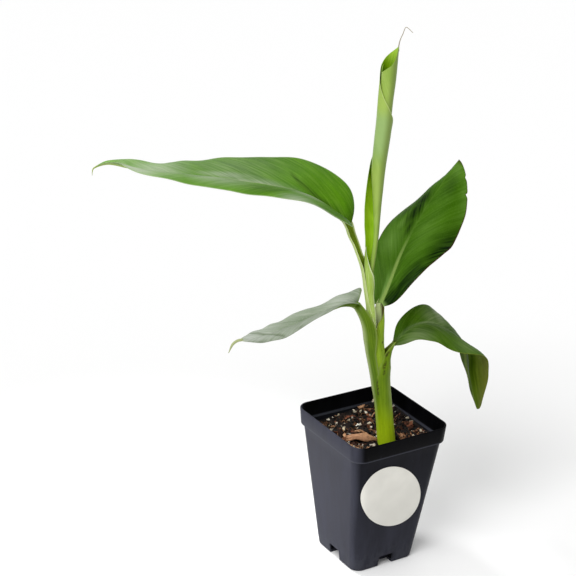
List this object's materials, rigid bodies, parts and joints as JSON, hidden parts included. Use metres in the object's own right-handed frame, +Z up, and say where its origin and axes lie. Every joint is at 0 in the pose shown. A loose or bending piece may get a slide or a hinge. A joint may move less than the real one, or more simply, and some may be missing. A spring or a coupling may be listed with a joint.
{
  "type": "potted banana plant",
  "caption": "Young banana plant with broad arching leaves and a rolled new leaf, growing in a tapered square nursery pot; stands free on the pot's flat underside.",
  "frame": {"origin": "centre of the pot's flat underside, which is the plane z = 0", "axes": "+Z up along the pot's axis; +X and +Y square to the pot's side walls, with the round label on the -Y wall"},
  "size_m": [0.3237, 0.1878, 0.4839],
  "materials": {
    "pot": "satin black moulded plastic",
    "potting_mix": "loose damp bark, fibre and perlite",
    "pot_label": "matt off-white, bare",
    "stem": "smooth fleshy yellow-green sheaths",
    "leaf": "smooth waxy green with fine ribs",
    "rolled_leaf": "smooth pale green"
  },
  "bodies": {
    "root": {"pot": "pot", "potting_mix": "potting_mix", "pot_label": "pot_label", "pseudostem": "stem", "petiole_upper_left": "stem", "petiole_upper_right": "stem", "petiole_lower_left": "stem", "petiole_lower_right": "stem", "leaf_upper_left": "leaf", "leaf_upper_right": "leaf", "leaf_lower_left": "leaf", "leaf_lower_right": "leaf", "leaf_lower_right_tip": "leaf", "rolled_leaf": "rolled_leaf"}
  },
  "joints": []
}
